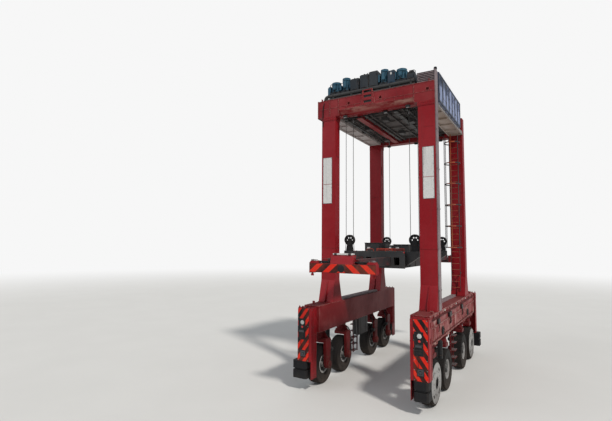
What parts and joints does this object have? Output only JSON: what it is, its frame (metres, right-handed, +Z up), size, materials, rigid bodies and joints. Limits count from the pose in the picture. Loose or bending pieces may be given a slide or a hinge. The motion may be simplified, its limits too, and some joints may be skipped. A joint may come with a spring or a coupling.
{
  "type": "straddle carrier",
  "caption": "Driverless port straddle carrier: tall red portal on steered wheels, with a rope-hoisted telescopic spreader between its legs.",
  "frame": {"origin": "on the ground at the middle of the wheel set", "axes": "+X to the right-hand side seen from the front, -Y to the front (hoist machinery end), +Z up"},
  "size_m": [5.34, 12.147, 12.715],
  "materials": {
    "red_paint": "satin paint, sun-faded",
    "light_grey_paint": "satin",
    "blue_grey_paint": "satin",
    "galvanised_steel": "galvanised",
    "dark_grey_paint": "satin",
    "blue_paint": "satin",
    "wire_rope": "greased",
    "hazard_stripes": "orange-red and black stripes",
    "black_rubber": "matt",
    "black_paint": "satin",
    "white_plate": "blank plate",
    "rim_grey": "satin",
    "tyre": "worn rubber"
  },
  "bodies": {
    "portal": {"side_beam_left": "red_paint", "side_beam_right": "red_paint", "leg_front_left": "red_paint", "leg_front_right": "red_paint", "leg_rear_left": "red_paint", "leg_rear_right": "red_paint", "cross_beam_front": "red_paint", "cross_beam_rear": "red_paint", "top_beams": "light_grey_paint", "centre_beam": "red_paint", "deck": "galvanised_steel", "head_sheaves": "dark_grey_paint", "power_house": "blue_grey_paint", "intake_grille": "light_grey_paint", "engine_block": "dark_grey_paint", "electrical_house": "light_grey_paint", "hoist_bed": "dark_grey_paint", "hoist_motors": "blue_paint", "hoist_cabinets": "dark_grey_paint", "hoist_ropes": "wire_rope", "bumper_columns": "red_paint", "hazard_boards": "hazard_stripes", "scanner_bumpers": "black_rubber", "ladder": "dark_grey_paint", "access_steps": "red_paint", "fuel_tank": "dark_grey_paint", "handrails": "black_paint", "cable_duct": "light_grey_paint", "placards": "white_plate"},
    "hoist_drum": {"hoist_drum": "dark_grey_paint"},
    "spreader": {"spreader_frame": "dark_grey_paint", "spreader_sheaves": "dark_grey_paint", "spreader_cabinets": "light_grey_paint"},
    "spreader_front": {"spreader_end_front": "red_paint"},
    "spreader_rear": {"spreader_end_rear": "red_paint"},
    "knuckle_front_left": {"knuckle_front_left": "red_paint"},
    "wheel_front_left": {"rim_front_left": "rim_grey", "tyre_front_left": "tyre"},
    "knuckle_front_right": {"knuckle_front_right": "red_paint"},
    "wheel_front_right": {"rim_front_right": "rim_grey", "tyre_front_right": "tyre"},
    "knuckle_second_left": {"knuckle_second_left": "red_paint"},
    "wheel_second_left": {"rim_second_left": "rim_grey", "tyre_second_left": "tyre"},
    "knuckle_second_right": {"knuckle_second_right": "red_paint"},
    "wheel_second_right": {"rim_second_right": "rim_grey", "tyre_second_right": "tyre"},
    "knuckle_third_left": {"knuckle_third_left": "red_paint"},
    "wheel_third_left": {"rim_third_left": "rim_grey", "tyre_third_left": "tyre"},
    "knuckle_third_right": {"knuckle_third_right": "red_paint"},
    "wheel_third_right": {"rim_third_right": "rim_grey", "tyre_third_right": "tyre"},
    "knuckle_rear_left": {"knuckle_rear_left": "red_paint"},
    "wheel_rear_left": {"rim_rear_left": "rim_grey", "tyre_rear_left": "tyre"},
    "knuckle_rear_right": {"knuckle_rear_right": "red_paint"},
    "wheel_rear_right": {"rim_rear_right": "rim_grey", "tyre_rear_right": "tyre"}
  },
  "joints": [
    {"name": "hoist", "type": "slide", "parent": "portal", "child": "spreader", "axis": [0, 0, 1], "range_m": [-2.03, 4.6], "deforming": ["hoist_ropes"]},
    {"name": "drum_turn", "type": "hinge", "parent": "portal", "child": "hoist_drum", "pos_m": [-0.175, -2.145, 12.055], "axis": [1, 0, 0], "continuous": true},
    {"name": "telescope_front", "type": "slide", "parent": "spreader", "child": "spreader_front", "axis": [0, 1, 0], "range_m": [0, 3.066]},
    {"name": "telescope_rear", "type": "slide", "parent": "spreader", "child": "spreader_rear", "axis": [0, -1, 0], "range_m": [0, 3.066]},
    {"name": "steer_front_left", "type": "hinge", "parent": "portal", "child": "knuckle_front_left", "pos_m": [-2.19, -3.52, 2], "axis": [0, 0, 1], "range_deg": [-25, 25]},
    {"name": "roll_front_left", "type": "hinge", "parent": "knuckle_front_left", "child": "wheel_front_left", "pos_m": [-2.19, -3.52, 0.76], "axis": [1, 0, 0], "continuous": true},
    {"name": "steer_front_right", "type": "hinge", "parent": "portal", "child": "knuckle_front_right", "pos_m": [2.19, -3.52, 2], "axis": [0, 0, 1], "range_deg": [-25, 25]},
    {"name": "roll_front_right", "type": "hinge", "parent": "knuckle_front_right", "child": "wheel_front_right", "pos_m": [2.19, -3.52, 0.76], "axis": [1, 0, 0], "continuous": true},
    {"name": "steer_second_left", "type": "hinge", "parent": "portal", "child": "knuckle_second_left", "pos_m": [-2.19, -1.64, 2], "axis": [0, 0, 1], "range_deg": [-12.5, 12.5]},
    {"name": "roll_second_left", "type": "hinge", "parent": "knuckle_second_left", "child": "wheel_second_left", "pos_m": [-2.19, -1.64, 0.76], "axis": [1, 0, 0], "continuous": true},
    {"name": "steer_second_right", "type": "hinge", "parent": "portal", "child": "knuckle_second_right", "pos_m": [2.19, -1.64, 2], "axis": [0, 0, 1], "range_deg": [-12.5, 12.5]},
    {"name": "roll_second_right", "type": "hinge", "parent": "knuckle_second_right", "child": "wheel_second_right", "pos_m": [2.19, -1.64, 0.76], "axis": [1, 0, 0], "continuous": true},
    {"name": "steer_third_left", "type": "hinge", "parent": "portal", "child": "knuckle_third_left", "pos_m": [-2.19, 1.64, 2], "axis": [0, 0, 1], "range_deg": [-12.5, 12.5]},
    {"name": "roll_third_left", "type": "hinge", "parent": "knuckle_third_left", "child": "wheel_third_left", "pos_m": [-2.19, 1.64, 0.76], "axis": [1, 0, 0], "continuous": true},
    {"name": "steer_third_right", "type": "hinge", "parent": "portal", "child": "knuckle_third_right", "pos_m": [2.19, 1.64, 2], "axis": [0, 0, 1], "range_deg": [-12.5, 12.5]},
    {"name": "roll_third_right", "type": "hinge", "parent": "knuckle_third_right", "child": "wheel_third_right", "pos_m": [2.19, 1.64, 0.76], "axis": [1, 0, 0], "continuous": true},
    {"name": "steer_rear_left", "type": "hinge", "parent": "portal", "child": "knuckle_rear_left", "pos_m": [-2.19, 3.52, 2], "axis": [0, 0, 1], "range_deg": [-25, 25]},
    {"name": "roll_rear_left", "type": "hinge", "parent": "knuckle_rear_left", "child": "wheel_rear_left", "pos_m": [-2.19, 3.52, 0.76], "axis": [1, 0, 0], "continuous": true},
    {"name": "steer_rear_right", "type": "hinge", "parent": "portal", "child": "knuckle_rear_right", "pos_m": [2.19, 3.52, 2], "axis": [0, 0, 1], "range_deg": [-25, 25]},
    {"name": "roll_rear_right", "type": "hinge", "parent": "knuckle_rear_right", "child": "wheel_rear_right", "pos_m": [2.19, 3.52, 0.76], "axis": [1, 0, 0], "continuous": true}
  ],
  "couplings": [
    {"joint": "drum_turn", "follows": "hoist", "rad_per_m": 10},
    {"joint": "telescope_rear", "follows": "telescope_front", "ratio": 1},
    {"joint": "steer_front_right", "follows": "steer_front_left", "ratio": 1},
    {"joint": "steer_second_left", "follows": "steer_front_left", "ratio": 0.5},
    {"joint": "steer_second_right", "follows": "steer_front_left", "ratio": 0.5},
    {"joint": "steer_third_left", "follows": "steer_front_left", "ratio": -0.5},
    {"joint": "steer_third_right", "follows": "steer_front_left", "ratio": -0.5},
    {"joint": "steer_rear_left", "follows": "steer_front_left", "ratio": -1},
    {"joint": "steer_rear_right", "follows": "steer_front_left", "ratio": -1}
  ]
}
